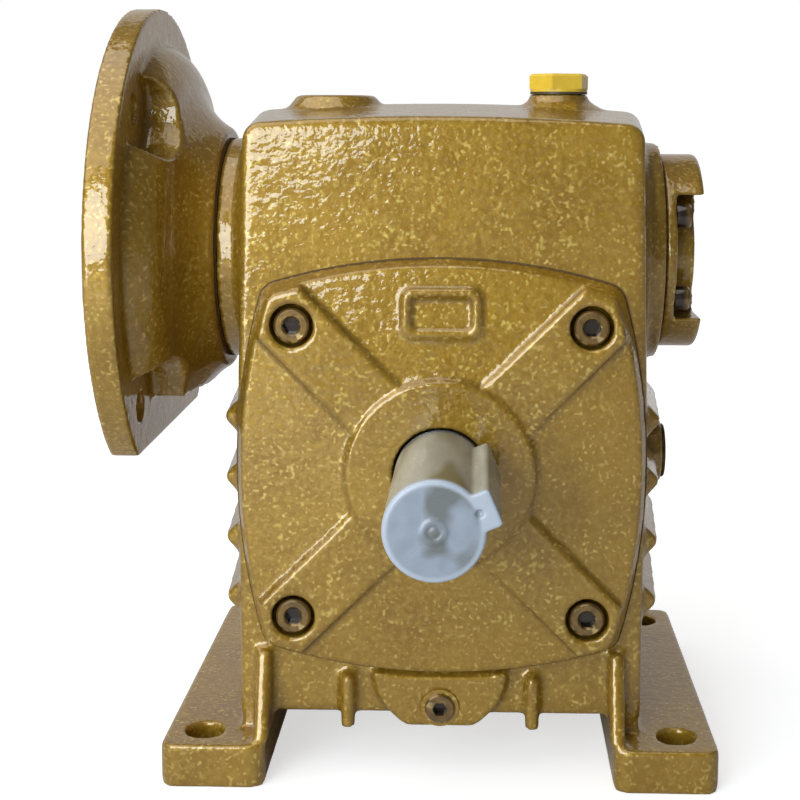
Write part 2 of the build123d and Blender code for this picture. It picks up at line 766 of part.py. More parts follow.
level_plane = Plane(origin=(level_boss_x, 0, level_z), x_dir=(0, 1, 0), z_dir=(1, 0, 0))
with BuildPart() as level_sight_ring:
    with BuildSketch(level_plane):
        Circle(level_hole_r - clear)
        Circle(level_window_r - 1.5, mode=Mode.SUBTRACT)
    extrude(amount=-9)
    with BuildSketch(level_plane):
        Circle(level_hole_r + 2)
        Circle(level_window_r + clear, mode=Mode.SUBTRACT)
    extrude(amount=1.2)
    with BuildSketch(level_plane):
        Circle(level_window_r + clear)
    extrude(amount=-4.0, mode=Mode.SUBTRACT)
    chamfer(level_sight_ring.faces().sort_by(Axis.X)[-1].edges(), length=0.4)
finish(level_sight_ring.part, "level_sight_ring")
with BuildPart() as level_sight_window:
    with BuildSketch(level_plane.offset(-4.0)):
        Circle(level_window_r)
    extrude(amount=3.2)
finish(level_sight_window.part, "level_sight_window")


# ---------------------------------------------------------------- ball bearings
def bearing(prefix, place, wide, bore_r, outer_r, ball_r, ball_count):
    """Inner ring, outer ring, balls and cage of a deep groove bearing, each in its own file."""
    pitch_r = (bore_r + outer_r) / 2
    land = 0.6 * ball_r
    groove_r = ball_r + 0.08

    def ring(low_r, high_r):
        with BuildPart() as piece:
            with BuildSketch(Plane.XZ) as section:
                with Locations(((low_r + high_r) / 2, wide / 2)):
                    Rectangle(high_r - low_r, wide)
                chamfer(section.vertices(), length=0.8)
                with Locations((pitch_r, wide / 2)):
                    Circle(groove_r, mode=Mode.SUBTRACT)
            revolve(axis=Axis.Z)
        return piece.part.moved(place.location)

    finish(ring(bore_r, pitch_r - land), f"{prefix}_inner_ring")
    finish(ring(pitch_r + land, outer_r), f"{prefix}_outer_ring")
    with BuildPart() as balls:
        with Locations((0, 0, wide / 2)):
            with PolarLocations(pitch_r, ball_count):
                Sphere(ball_r)
    finish(balls.part.moved(place.location), f"{prefix}_balls")
    with BuildPart() as cage:
        with BuildSketch(Plane.XY.offset(wide / 2)):
            Circle(pitch_r + 0.24 * ball_r)
            Circle(pitch_r - 0.24 * ball_r, mode=Mode.SUBTRACT)
        extrude(amount=1.18 * ball_r, both=True)
        with Locations((0, 0, wide / 2)):
            with PolarLocations(pitch_r, ball_count):
                Cylinder(groove_r, ball_r, rotation=(0, 90, 0), mode=Mode.SUBTRACT)
    finish(cage.part.moved(place.location), f"{prefix}_cage")


bearing("front_bearing", along_y(-output_bearing_y - output_bearing_wide), output_bearing_wide,
        bearing_seat_r, output_bearing_r, 5.95, 9)
bearing("rear_bearing", along_y(output_bearing_y), output_bearing_wide,
        bearing_seat_r, output_bearing_r, 5.95, 9)
bearing("input_bearing", side(input_bearing_x), input_bearing_wide,
        bearing_seat_r, input_bearing_r, 3.97, 12)
bearing("end_bearing", side(end_bearing_x), end_bearing_wide, worm_neck_r + 0.5, end_bearing_r, 4.76, 9)


# ---------------------------------------------------------------- oil seals
def lip_seal(plane, shaft_r, outer_r, wide):
    """A radial shaft seal: a rubber-clad ring with a lip that rides on the shaft."""
    with BuildPart() as seal:
        with BuildSketch(Plane.XZ):
            with BuildLine():
                Polyline(
                    (shaft_r + 2.4, 0), (outer_r, 0), (outer_r, wide), (outer_r - 2, wide),
                    (outer_r - 2, 2), (shaft_r + 2.2, 2), (shaft_r + 1.8, wide - 2.5),
                    (shaft_r + clear, wide - 3.5), (shaft_r + clear, wide - 4), close=True,
                )
            make_face()
        revolve(axis=Axis.Z)
    return seal.part.moved(plane.location)


finish(lip_seal(along_y(-output_seal_end_y), seal_seat_r, output_seal_r, 10), "output_oil_seal")
finish(lip_seal(side(input_seal_x), bearing_seat_r, input_seal_r, 10), "input_oil_seal")


# ---------------------------------------------------------------- output shaft, keys and sleeve
def key_plane(angle, radius):
    """A plane tangent to the output shaft, facing outward at an angle from +X towards +Z."""
    turned = radians(angle)
    return Plane(origin=(radius * cos(turned), 0, output_z + radius * sin(turned)), x_dir=(0, 1, 0),
                 z_dir=(cos(turned), 0, sin(turned)))


def key_outline(middle_y, length, wide, grow=0.0):
    """A round-ended key, drawn along the shaft on its tangent plane."""
    with Locations((middle_y, 0)):
        SlotOverall(length + 2 * grow, wide + 2 * grow)


with BuildPart() as output_shaft:
    steps = [
        (extension_end_y, -cover_hub_y + 1.0, extension_r),
        (-cover_hub_y + 1.0, -66.0, seal_seat_r),
        (-66.0, -output_bearing_y, bearing_seat_r),
        (-output_bearing_y, wheel_hub_half, wheel_seat_r),
        (wheel_hub_half, output_bearing_y, collar_r),
        (output_bearing_y, output_bearing_y + output_bearing_wide, bearing_seat_r),
    ]
    for start_y, end_y, radius in steps:
        with BuildSketch(along_y(start_y)):
            Circle(radius)
        extrude(amount=end_y - start_y)
    chamfer(output_shaft.faces().sort_by(Axis.Y)[0].edges(), length=1.5)
    chamfer(output_shaft.faces().sort_by(Axis.Y)[-1].edges(), length=1.0)
    with BuildSketch(key_plane(key_angle, extension_r)):
        key_outline(output_key_y, output_key_long, output_key_wide, clear)
    extrude(amount=-5.0, mode=Mode.SUBTRACT)
    with BuildSketch(key_plane(90, wheel_seat_r)):
        key_outline(0, wheel_key_long, wheel_key_wide, clear)
    extrude(amount=-5.5, mode=Mode.SUBTRACT)
    # tapped centre hole in the shaft's end
    with BuildSketch(front(-extension_end_y)):
        Circle(5.1)
    extrude(amount=-22, mode=Mode.SUBTRACT)
finish(output_shaft.part, "output_shaft")

with BuildPart() as output_key:
    with BuildSketch(key_plane(key_angle, extension_r - 5.0)):
        key_outline(output_key_y, output_key_long, output_key_wide)
    extrude(amount=8.0)
    chamfer(output_key.faces().sort_by(Axis((0, 0, 0), (cos(radians(key_angle)), 0,
                                                        sin(radians(key_angle)))))[-1].edges(), length=0.5)
finish(output_key.part, "output_key")

with BuildPart() as wheel_key:
    with BuildSketch(key_plane(90, wheel_seat_r - 5.5)):
        key_outline(0, wheel_key_long, wheel_key_wide)
    extrude(amount=9.0)
finish(wheel_key.part, "wheel_key")

with BuildPart() as spacer_sleeve:
    with BuildSketch(along_y(-output_bearing_y)):
        Circle(wheel_seat_r + 3.5)
        Circle(wheel_seat_r + 0.02, mode=Mode.SUBTRACT)
    extrude(amount=output_bearing_y - wheel_hub_half)
finish(spacer_sleeve.part, "spacer_sleeve")

# ---------------------------------------------------------------- worm wheel
pitch_r = module * teeth / 2
throat_tip_r = pitch_r + module
wheel_root_r = pitch_r - 1.2 * module
lead = pi * module
worm_pitch_r = centre_distance - pitch_r
pressure = radians(20)
tooth_gap = 0.25  # extra half width of each tooth space, for backlash

with BuildPart() as wheel_hub:
    with BuildSketch(along_y(-wheel_hub_half)):
        Circle(34)
    extrude(amount=2 * wheel_hub_half)
    with BuildSketch(along_y(-7)):
        Circle(rim_seat_r)
    extrude(amount=14)
    with BuildSketch(along_y(-rim_half)):
        Circle(rim_seat_r)
        Circle(rim_seat_r - 6, mode=Mode.SUBTRACT)
    extrude(amount=2 * rim_half)
    with BuildSketch(along_y(-wheel_hub_half)):
        Circle(wheel_seat_r + 0.02)
        with Locations((0, wheel_seat_r - 3)):
            Rectangle(wheel_key_wide + 0.1, 13.2)
    extrude(amount=2 * wheel_hub_half, mode=Mode.SUBTRACT)
    with BuildSketch(along_y(-rim_half)):
        with PolarLocations(rim_seat_r, lock_screw_count):
            Circle(3 + clear)
    extrude(amount=14, mode=Mode.SUBTRACT)
finish(wheel_hub.part, "wheel_hub")


def space_half_angle(radius):
    """Half the angle of an involute tooth space at a radius, backlash included."""
    base_r = pitch_r * cos(pressure)
    grow = 0.0
    if radius > base_r:
        angle = acos(base_r / radius)
        grow = (tan(angle) - angle) - (tan(pressure) - pressure)
    else:
        grow = -(tan(pressure) - pressure)
    return pi / (2 * teeth) + grow + tooth_gap / pitch_r


def space_outline(turn):
    """One tooth space at the top of the wheel, turned about the output axis by an angle."""
    def point(radius, angle):
        return (radius * sin(angle + turn), radius * cos(angle + turn))

    base_r = pitch_r * cos(pressure)
    outer_r = throat_tip_r + 4
    radii = [base_r, (base_r + pitch_r) / 2, pitch_r, pitch_r + module, outer_r]
    left = [point(radius, -space_half_angle(radius)) for radius in radii]
    right = [point(radius, space_half_angle(radius)) for radius in radii]
    root_left = point(wheel_root_r, -space_half_angle(base_r))
    root_right = point(wheel_root_r, space_half_angle(base_r))
    with BuildSketch(mode=Mode.PRIVATE) as outline:
        with BuildLine():
            Line(root_left, left[0])
            Spline(*left)
            Line(left[-1], right[-1])
            Spline(*reversed(right))
            Line(right[0], root_right)
            Line(root_right, root_left)
        make_face()
    return outline.sketch


with BuildPart() as tooth_space:
    space_reach = rim_half + 2
    for end_y in (-space_reach, space_reach):
        with BuildSketch(front(-end_y)):
            add(space_outline(end_y * lead / (2 * pi * worm_pitch_r) / pitch_r))
    loft(ruled=True)

with BuildPart() as wheel_rim:
    with BuildSketch(along_y(-rim_half)):
        Circle(rim_outer_r)
        Circle(rim_seat_r, mode=Mode.SUBTRACT)
    extrude(amount=2 * rim_half)
    rim_edges = wheel_rim.edges().filter_by(GeomType.CIRCLE)
    chamfer(rim_edges.filter_by(lambda e: e.radius > rim_outer_r - 0.1), length=2.5)
    # throat that wraps the worm
    with BuildSketch(Plane.YZ):
        with Locations((0, output_z + centre_distance)):
            Circle(centre_distance - throat_tip_r)
    revolve(axis=Axis((0, 0, output_z), (0, 1, 0)), mode=Mode.SUBTRACT)
    for index in range(teeth):
        turned = tooth_space.part.rotate(Axis((0, 0, output_z), (0, 1, 0)), index * 360 / teeth)
        add(turned, mode=Mode.SUBTRACT)
    with BuildSketch(along_y(-rim_half)):
        with PolarLocations(rim_seat_r, lock_screw_count):
            Circle(3 + clear)
    extrude(amount=14, mode=Mode.SUBTRACT)
finish(wheel_rim.part, "wheel_rim")

with BuildPart() as rim_lock_screws:
    with BuildSketch(along_y(-rim_half + 0.5)):
        with PolarLocations(rim_seat_r, lock_screw_count):
            Circle(3)
            RegularPolygon(1.5, 6, major_radius=False, mode=Mode.SUBTRACT)
    extrude(amount=3)
    with BuildSketch(along_y(-rim_half + 3.5)):
        with PolarLocations(rim_seat_r, lock_screw_count):
            Circle(3)
    extrude(amount=9)
finish(rim_lock_screws.part, "rim_lock_screws")

# ---------------------------------------------------------------- worm shaft
worm_tip_r = worm_pitch_r + module
worm_root_r = worm_pitch_r - 1.2 * module
thread_thin = 0.15  # taken off each flank of the thread

thread_start_x = -4.75 * lead  # brings a crest to the bottom of the worm at X = 0

with BuildPart() as worm_thread:
    with BuildLine():
        helix = Helix(lead, 9 * lead, worm_pitch_r)
    with BuildSketch(Plane(origin=helix @ 0, x_dir=(1, 0, 0), z_dir=helix % 0)):
        with BuildLine():
            half = lead / 4 - thread_thin
            low = worm_root_r - worm_pitch_r - 0.6
            high = worm_tip_r - worm_pitch_r
            low_half = half - low * tan(pressure)
            high_half = half - high * tan(pressure)
            Polyline((low, low_half), (high, high_half), (high, -high_half), (low, -low_half), close=True)
        make_face()
    sweep(path=helix, is_frenet=True)

with BuildPart() as worm_shaft:
    add(worm_thread.part.moved(side(thread_start_x).location))
    # the thread's two ends are bevelled
    with BuildSketch(Plane.XZ):
        with BuildLine():
            end_x = worm_half_length
            Polyline((-end_x, worm_z), (-end_x, worm_z + worm_root_r),
                     (-end_x + 5, worm_z + worm_tip_r + 0.1), (end_x - 5, worm_z + worm_tip_r + 0.1),
                     (end_x, worm_z + worm_root_r), (end_x, worm_z), close=True)
        make_face()
    revolve(axis=Axis((0, 0, worm_z), (1, 0, 0)), mode=Mode.INTERSECT)
    worm_steps = [
        (worm_hub_end_x, input_bearing_x + input_bearing_wide, bearing_seat_r),
        (input_bearing_x + input_bearing_wide, -52.0, bearing_seat_r + 3.5),
        (-52.0, 52.0, worm_root_r),
        (52.0, end_bearing_x, worm_neck_r + 4.5),
        (end_bearing_x, 80.0, worm_neck_r + 0.5),
    ]
    for start_x, end_x, radius in worm_steps:
        with BuildSketch(side(start_x)):
            Circle(radius)
        extrude(amount=end_x - start_x)
    chamfer(worm_shaft.faces().sort_by(Axis.X)[0].edges(), length=1.0)
    chamfer(worm_shaft.faces().sort_by(Axis.X)[-1].edges(), length=1.0)
    with BuildSketch(side(worm_hub_end_x)):
        Circle(input_bore_r)
        with Locations((0, input_bore_r / 2 + 1.65)):
            Rectangle(8, input_bore_r + 3.3)
    extrude(amount=input_bore_deep, mode=Mode.SUBTRACT)
    with BuildSketch(side(end_bearing_x + end_bearing_wide + 0.1)):
        Circle(worm_neck_r + 2)
        Circle(worm_neck_r - 0.7, mode=Mode.SUBTRACT)
    extrude(amount=circlip_thick + 0.1, mode=Mode.SUBTRACT)
finish(worm_shaft.part, "worm_shaft")

with BuildPart() as end_circlip:
    with BuildSketch(side(end_bearing_x + end_bearing_wide + 0.15)):
        Circle(worm_neck_r + 3.2)
        Circle(worm_neck_r - 0.5, mode=Mode.SUBTRACT)
        with Locations((0, worm_neck_r + 2)):
            Rectangle(5, 8, mode=Mode.SUBTRACT)
    extrude(amount=circlip_thick)
finish(end_circlip.part, "end_circlip")

# ---------------------------------------------------------------- shaft cap
with BuildPart() as shaft_cap:
    cap_end_y = cap_back_y - cap_long
    turned = radians(key_angle)
    with BuildSketch(front(-cap_back_y)):
        Circle(extension_r + cap_wall)
    extrude(amount=cap_long)
    fillet(shaft_cap.faces().sort_by(Axis.Y)[0].edges(), radius=1.5)
    with BuildSketch(front(-cap_back_y + cap_bump_gap)):
        with Locations((11.2 * cos(turned), 11.2 * sin(turned))):
            RectangleRounded(22.0, output_key_wide + 2 * cap_wall, 1.2, rotation=key_angle)
    extrude(amount=cap_long - cap_bump_gap)
    with BuildSketch(front(-cap_back_y)):
        Circle(extension_r + 0.08)
    extrude(amount=cap_long - cap_end_thick, mode=Mode.SUBTRACT)
    with BuildSketch(front(-cap_back_y)):
        with Locations((10.2 * cos(turned), 10.2 * sin(turned))):
            Rectangle(20.4, output_key_wide + 0.4, rotation=key_angle)
    extrude(amount=cap_long - cap_end_thick, mode=Mode.SUBTRACT)
    # raised ring and gate mark at the centre, and the blind hole over the key
    with BuildSketch(front(-cap_end_y)):
        Circle(4.2)
        Circle(2.8, mode=Mode.SUBTRACT)
        Circle(1.3)
    extrude(amount=0.6)
    with BuildSketch(front(-cap_end_y)):
        with Locations((cap_hole_out * cos(turned), cap_hole_out * sin(turned))):
            Circle(1.4)
    extrude(amount=-1.5, mode=Mode.SUBTRACT)
finish(shaft_cap.part, "shaft_cap")
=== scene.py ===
"""Looks of a foot-mounted worm gearbox in hammered gold paint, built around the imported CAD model."""
import json
from math import cos, radians, sin

import bpy
import numpy as np
from mathutils import Matrix, Vector


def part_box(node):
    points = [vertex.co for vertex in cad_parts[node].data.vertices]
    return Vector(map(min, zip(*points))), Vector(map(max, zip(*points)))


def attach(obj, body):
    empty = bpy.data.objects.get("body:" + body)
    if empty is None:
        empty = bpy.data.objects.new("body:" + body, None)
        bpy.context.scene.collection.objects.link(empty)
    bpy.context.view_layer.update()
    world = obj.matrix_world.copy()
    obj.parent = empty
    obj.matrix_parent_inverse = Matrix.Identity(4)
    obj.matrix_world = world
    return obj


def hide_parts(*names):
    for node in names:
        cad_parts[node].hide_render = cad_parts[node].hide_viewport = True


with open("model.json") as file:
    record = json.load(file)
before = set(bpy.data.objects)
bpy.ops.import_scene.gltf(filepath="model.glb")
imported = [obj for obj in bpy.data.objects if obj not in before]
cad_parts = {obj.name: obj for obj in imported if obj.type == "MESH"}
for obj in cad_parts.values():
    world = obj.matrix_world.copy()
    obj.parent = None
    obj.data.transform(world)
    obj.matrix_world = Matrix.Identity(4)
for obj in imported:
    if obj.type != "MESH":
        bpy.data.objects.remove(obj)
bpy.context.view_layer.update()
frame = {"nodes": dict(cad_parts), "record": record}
NODES = frame["nodes"]
MM = 0.001
CAP_END_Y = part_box("shaft_cap")[0][1]
# height of the output axis
OUTPUT_Z = sum(corner[2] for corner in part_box("front_bearing_outer_ring")) / 2


# ---------------------------------------------------------------- node helpers
class Nodes:
    """A material's node tree, with short calls for the nodes used here."""

    def __init__(self, name):
        self.material = bpy.data.materials.new(name)
        self.material.use_nodes = True
        self.tree = self.material.node_tree
        self.shader = self.tree.nodes["Principled BSDF"]
        self.place = self.add("ShaderNodeTexCoord").outputs["Object"]

    def add(self, kind, **settings):
        node = self.tree.nodes.new(kind)
        for key, value in settings.items():
            setattr(node, key, value)
        return node

    def link(self, source, socket):
        self.tree.links.new(source, socket)

    def noise(self, size, detail=3.0, roughness=0.55, distortion=0.0, stretch=None):
        """Noise whose lumps are about size metres across."""
        node = self.add("ShaderNodeTexNoise")
        node.inputs["Scale"].default_value = 1.0 / size
        node.inputs["Detail"].default_value = detail
        node.inputs["Roughness"].default_value = roughness
        node.inputs["Distortion"].default_value = distortion
        self.link(self.stretched(stretch), node.inputs["Vector"])
        return node.outputs["Fac"]

    def stretched(self, stretch):
        """Object coordinates, each multiplied by its own number when stretch is given."""
        if stretch is None:
            return self.place
        node = self.add("ShaderNodeMapping")
        node.inputs["Scale"].default_value = stretch
        self.link(self.place, node.inputs["Vector"])
        return node.outputs["Vector"]

    def ramp(self, value, low, high, start=0.0, end=1.0):
        """Maps low..high of a value to start..end, clamped."""
        node = self.add("ShaderNodeMapRange", clamp=True)
        self.link(value, node.inputs["Value"])
        limits = {"From Min": low, "From Max": high, "To Min": start, "To Max": end}
        for socket, number in limits.items():
            node.inputs[socket].default_value = number
        return node.outputs["Result"]

    def mix(self, factor, first, second):
        """Mixes two colours; each is a tuple or a socket."""
        node = self.add("ShaderNodeMix", data_type="RGBA")
        self.link(factor, node.inputs[0])
        for socket, colour in ((node.inputs[6], first), (node.inputs[7], second)):
            if isinstance(colour, tuple):
                socket.default_value = (*colour, 1.0)
            else:
                self.link(colour, socket)
        return node.outputs[2]

    def math(self, operation, first, second=0.0):
        """A Math node; each value is a number or a socket."""
        node = self.add("ShaderNodeMath", operation=operation)
        for socket, value in zip(node.inputs, (first, second)):
            if isinstance(value, (int, float)):
                socket.default_value = value
            else:
                self.link(value, socket)
        return node.outputs[0]

    def bump(self, height, depth, strength, under=None):
        """A normal from a height that is depth metres deep, laid over another normal if given."""
        node = self.add("ShaderNodeBump")
        node.inputs["Strength"].default_value = strength
        node.inputs["Distance"].default_value = depth
        self.link(height, node.inputs["Height"])
        if under is not None:
            self.link(under, node.inputs["Normal"])
        return node.outputs["Normal"]

    def pointiness(self):
        """0.5 on flat skin, less in hollows, more on edges."""
        return self.add("ShaderNodeNewGeometry").outputs["Pointiness"]

    def set(self, **values):
        """Sets or links the shader's sockets by name, with _ for a space."""
        for key, value in values.items():
            socket = self.shader.inputs[key.replace("_", " ")]
            if isinstance(value, (int, float)):
                socket.default_value = value
            elif isinstance(value, tuple):
                socket.default_value = (*value, 1.0)
            else:
                self.link(value, socket)


# ---------------------------------------------------------------- materials
DEEP_GOLD = (0.235, 0.125, 0.008)
PALE_GOLD = (0.310, 0.174, 0.013)
GRAIN_GOLD = (0.380, 0.235, 0.034)
FLECK_AND_GLINT_GOLD = (0.640, 0.470, 0.120)
GOLD_GLINT = (0.80, 0.58, 0.28)
# colour of the painted shade in the castings' hollows
PAINTED_HOLLOW_SHADE = (0.055, 0.029, 0.008)


def gold_paint():
    """Hammered metallic paint: shallow rounded dimples, faint metal flecks that are also painted glints,
    painted shade in the corners.
    """
    n = Nodes("gold_hammered_paint")
    cloudy = n.ramp(n.noise(30 * MM, detail=4), 0.35, 0.68)
    base = n.mix(cloudy, DEEP_GOLD, PALE_GOLD)
    grain = n.ramp(n.noise(2.2 * MM, detail=2), 0.42, 0.66, 0.0, 0.55)
    base = n.mix(grain, base, GRAIN_GOLD)
    # metal flecks, made lighter in colour, which also act as painted glints of the hammered skin
    fleck_and_glint = n.ramp(n.noise(1.5 * MM, detail=0), 0.60, 0.78)
    cluster = n.ramp(n.noise(10 * MM, detail=2), 0.38, 0.62, 0.21, 0.70)
    base = n.mix(n.math("MULTIPLY", fleck_and_glint, cluster), base, FLECK_AND_GLINT_GOLD)
    # painted shade: the paint goes dark in hollows, where the pointiness is low
    corner = n.ramp(n.pointiness(), 0.43, 0.492, 0.75, 0.0)
    base = n.mix(corner, base, PAINTED_HOLLOW_SHADE)
    peel = n.bump(n.noise(5.8 * MM, detail=1), 1 * MM, 0.20)
    dimples = n.noise(2.4 * MM, detail=1.5, roughness=0.5, distortion=0.2)
    skin = n.bump(dimples, 0.5 * MM, 0.32, under=peel)
    n.set(Base_Color=base, Metallic=0.4, Roughness=0.44, Specular_Tint=GOLD_GLINT, Normal=skin,
          Coat_Weight=0.85, Coat_Roughness=0.06, Coat_IOR=1.65, Coat_Normal=skin)
    return n.material


def painted_screw(node=None, axis="Y", top=None):
    """Steel head sprayed with the castings' gold: painted shade in its hollows, a painted highlight on its
    edges, painted shade in the socket below its top.
    """
    n = Nodes("painted_screw_steel" if node is None else "painted_" + node)
    spray = n.ramp(n.noise(4 * MM, detail=3), 0.38, 0.66)
    base = n.mix(spray, (0.225, 0.128, 0.026), (0.135, 0.076, 0.018))
    # painted shade: the head goes dark in hollows, where the pointiness is low
    corner = n.ramp(n.pointiness(), 0.40, 0.49, 1.0, 0.0)
    base = n.mix(corner, base, (0.020, 0.011, 0.005))
    # painted highlight: lighter gold on the head's rounded edges
    edge_highlight = n.ramp(n.pointiness(), 0.52, 0.60)
    base = n.mix(edge_highlight, base, (0.520, 0.370, 0.150))
    # painted shade: the socket and the gap round the head go dark below the head's top
    if top is not None:
        parts = n.add("ShaderNodeSeparateXYZ")
        n.link(n.place, parts.inputs[0])
        depth = n.math("ABSOLUTE", n.math("SUBTRACT", parts.outputs[axis], top))
        base = n.mix(n.ramp(depth, 0.8 * MM, 3 * MM), base, (0.022, 0.012, 0.005))
    n.set(Base_Color=base, Metallic=0.7, Roughness=0.32, Coat_Weight=0.6, Coat_Roughness=0.10, Coat_IOR=1.7,
          Normal=n.bump(n.noise(1.8 * MM, detail=2), 0.3 * MM, 0.6))
    return n.material


def turned(name, clean, stained, stain, rough, size=0.6 * MM, detail=4, stretch=(1, 3, 1), depth=0.04 * MM,
           metallic=1.0):
    """Machined metal: fine marks in its gloss and skin, and stain given as size, detail, low and high."""
    n = Nodes(name)
    marks = n.noise(size, detail, stretch=stretch)
    stain_size, stain_detail, low, high = stain
    patches = n.ramp(n.noise(stain_size, stain_detail), low, high)
    n.set(Base_Color=n.mix(patches, clean, stained), Metallic=metallic,
          Roughness=n.ramp(marks, 0.3, 0.7, *rough), Normal=n.bump(marks, depth, 0.5))
    return n.material


def steel(name, colour, rough):
    """Turned or ground steel, about as rough as rough says."""
    stained = tuple(0.62 * c for c in colour)
    return turned(name, colour, stained, (12 * MM, 4, 0.42, 0.72), (rough - 0.08, rough + 0.12),
                  size=0.4 * MM, detail=3, stretch=None)


def grained(name, dark, light, size, detail, depth, strength, stretch=None, **settings):
    """A dull material whose one grain shows in both its colour and its skin."""
    n = Nodes(name)
    grain = n.noise(size, detail, stretch=stretch)
    n.set(Base_Color=n.mix(n.ramp(grain, 0.35, 0.7), dark, light), Normal=n.bump(grain, depth, strength),
          **settings)
    return n.material


def yellow_plastic():
    """Moulded plastic of the vent plug."""
    n = Nodes("yellow_plastic")
    cloudy = n.ramp(n.noise(6 * MM, detail=3), 0.35, 0.7)
    grain = n.noise(0.7 * MM, detail=3)
    n.set(Base_Color=n.mix(cloudy, (0.80, 0.55, 0.055), (0.72, 0.47, 0.04)), Roughness=0.34,
          Subsurface_Weight=0.12, Subsurface_Scale=0.002, Normal=n.bump(grain, 0.05 * MM, 0.5))
    return n.material


def cap_plastic():
    """Milky polyethylene: bluish on its closed end, with a painted highlight on its rim, warmer round the
    oiled shaft.
    """
    n = Nodes("milky_cap_plastic")
    along = (1, 0.22, 1)
    blotch = n.ramp(n.noise(10 * MM, detail=0.5, stretch=along), 0.52, 0.70)
    cloudy = n.ramp(n.noise(6 * MM, detail=2, stretch=along), 0.35, 0.75)
    end = n.mix(cloudy, (0.285, 0.325, 0.385), (0.240, 0.275, 0.330))
    end = n.mix(blotch, end, (0.150, 0.160, 0.155))
    parts = n.add("ShaderNodeSeparateXYZ")
    n.link(n.place, parts.inputs[0])
    flat = n.add("ShaderNodeCombineXYZ")
    n.link(parts.outputs["X"], flat.inputs["X"])
    n.link(parts.outputs["Z"], flat.inputs["Z"])
    reach = n.add("ShaderNodeVectorMath", operation="DISTANCE")
    n.link(flat.outputs[0], reach.inputs[0])
    reach.inputs[1].default_value = (0, 0, OUTPUT_Z)
    # painted highlight: the closed end is paler on its rounded rim
    rim_highlight = n.ramp(reach.outputs["Value"], 15 * MM, 16.3 * MM)
    end = n.mix(rim_highlight, end, (0.400, 0.445, 0.510))
    side = n.mix(cloudy, (0.365, 0.365, 0.320), (0.300, 0.298, 0.250))
    side = n.mix(blotch, side, (0.19, 0.175, 0.105))
    sleeve = n.ramp(parts.outputs["Y"], CAP_END_Y + 1.5 * MM, CAP_END_Y + 4 * MM)
    n.set(Base_Color=n.mix(sleeve, end, side), Roughness=n.ramp(cloudy, 0.0, 1.0, 0.26, 0.36), IOR=1.5,
          Normal=n.bump(n.noise(9 * MM, detail=0, stretch=along), 0.2 * MM, 0.2))
    return n.material


def sight_glass():
    """Glass with the amber of the oil behind it."""
    n = Nodes("oil_sight_glass")
    level = n.ramp(n.noise(4 * MM, detail=2), 0.4, 0.6)
    n.set(Base_Color=n.mix(level, (0.55, 0.42, 0.16), (0.42, 0.30, 0.10)), Roughness=0.08, IOR=1.47,
          Transmission_Weight=0.6, Coat_Weight=0.5, Coat_Roughness=0.05)
    return n.material


# ---------------------------------------------------------------- mesh helpers
HASH_PRIMES = np.array([73856093, 19349663, 83492791])
SEED_PRIME = 2654435761
HASH_MIX = 1274126177
HASH_MASK = 0x7FFFFFFF
HASH_RANGE = 65521
# the castings' unevenness: its depth, the mean sink and the swing as shares of that,
# and each wave's lump size, seed and share
SKIN_DEPTH = 0.12 * MM
SKIN_SINK = 0.5
SKIN_SWING = 0.35
SKIN_WAVES = ((9 * MM, 3, 1.0), (4.5 * MM, 5, 0.6))
MOST_FACES = 190000


def lattice_noise(points, size, seed):
    """Smooth repeatable values from -1 to 1 at each point, with lumps of the given size."""
    grid = points / size
    cell = np.floor(grid).astype(np.int64)
    part = grid - cell
    part = part * part * (3 - 2 * part)
    total = np.zeros(len(points))
    for corner in range(8):
        step = np.array([corner & 1, corner >> 1 & 1, corner >> 2 & 1])
        mixed = np.bitwise_xor.reduce((cell + step) * HASH_PRIMES, axis=1) ^ (seed * SEED_PRIME)
        mixed = (mixed ^ (mixed >> 13)) * HASH_MIX & HASH_MASK
        value = (mixed ^ (mixed >> 16)) % HASH_RANGE / (HASH_RANGE - 1) * 2 - 1
        weight = np.prod(np.where(step == 1, part, 1 - part), axis=1)
        total += value * weight
    return total


def coordinates(mesh, normals=False):
    """The mesh's vertices, or their normals, as rows of three numbers."""
    data = np.zeros(len(mesh.vertices) * 3)
    if normals:
        mesh.vertex_normals.foreach_get("vector", data)
    else:
        mesh.vertices.foreach_get("co", data)
    return data.reshape(-1, 3)


def apply_modifiers(piece):
    """Replaces the piece's mesh by its evaluated one."""
    depsgraph = bpy.context.evaluated_depsgraph_get()
    mesh = bpy.data.meshes.new_from_object(piece.evaluated_get(depsgraph))
    piece.modifiers.clear()
    piece.data = mesh


def remeshed(node, name, voxel, steps):
    """A copy of a CAD node as one closed mesh with rounded edges."""
    piece = bpy.data.objects.new(name, NODES[node].data.copy())
    bpy.context.scene.collection.objects.link(piece)
    remesh = piece.modifiers.new("Remesh", "REMESH")
    remesh.mode = "VOXEL"
    remesh.voxel_size = voxel
    smooth = piece.modifiers.new("Smooth", "SMOOTH")
    smooth.iterations = steps
    apply_modifiers(piece)
    return piece


def cast_copy(node, voxel, steps):
    """A casting from its CAD node: rounded edges and uneven skin, kept inside the node's box."""
    piece = remeshed(node, node + "_cast", voxel, steps)
    low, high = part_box(node)
    points = coordinates(piece.data)
    facing = coordinates(piece.data, normals=True)
    wave = sum(share * lattice_noise(points, size, seed) for size, seed, share in SKIN_WAVES)
    points -= facing * (SKIN_DEPTH * (SKIN_SINK + SKIN_SWING * wave))[:, None]
    points = np.clip(points, np.array(low), np.array(high))
    piece.data.vertices.foreach_set("co", points.ravel())
    piece.data.update()
    triangles = 2 * len(piece.data.polygons)
    if triangles > MOST_FACES:
        thin = piece.modifiers.new("Decimate", "DECIMATE")
        thin.ratio = MOST_FACES / triangles
        apply_modifiers(piece)
    piece.data.shade_smooth()
    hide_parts(node)
    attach(piece, "casing")
    return piece


